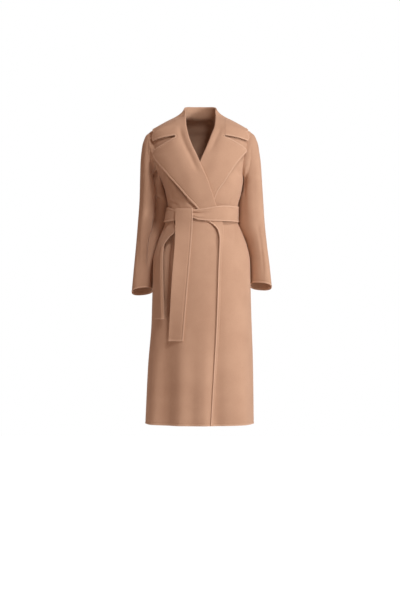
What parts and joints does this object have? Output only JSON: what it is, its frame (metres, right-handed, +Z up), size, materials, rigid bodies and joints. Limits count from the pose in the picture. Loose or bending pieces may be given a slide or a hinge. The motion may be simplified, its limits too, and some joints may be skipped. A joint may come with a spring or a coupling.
{
  "type": "belted wrap coat",
  "caption": "Long wool wrap coat, worn and hollow, with wide notched lapels, a large turned collar, long sleeves and a knotted cloth tie belt.",
  "frame": {"origin": "between the shoulders at the root of the neck, where the wearer's shoulders hold the coat up", "axes": "+Z up along the wearer's spine, -Y the way the coat faces, +X towards the wearer's left"},
  "size_m": [0.5445, 0.3483, 1.2362],
  "materials": {
    "camel_wool": "soft brushed nap, matt"
  },
  "bodies": {
    "root": {"back": "camel_wool", "right_front": "camel_wool", "left_front": "camel_wool", "right_sleeve": "camel_wool", "left_sleeve": "camel_wool", "collar": "camel_wool", "belt_band": "camel_wool", "belt_knot": "camel_wool", "belt_long_end": "camel_wool", "belt_short_end": "camel_wool"}
  },
  "joints": []
}
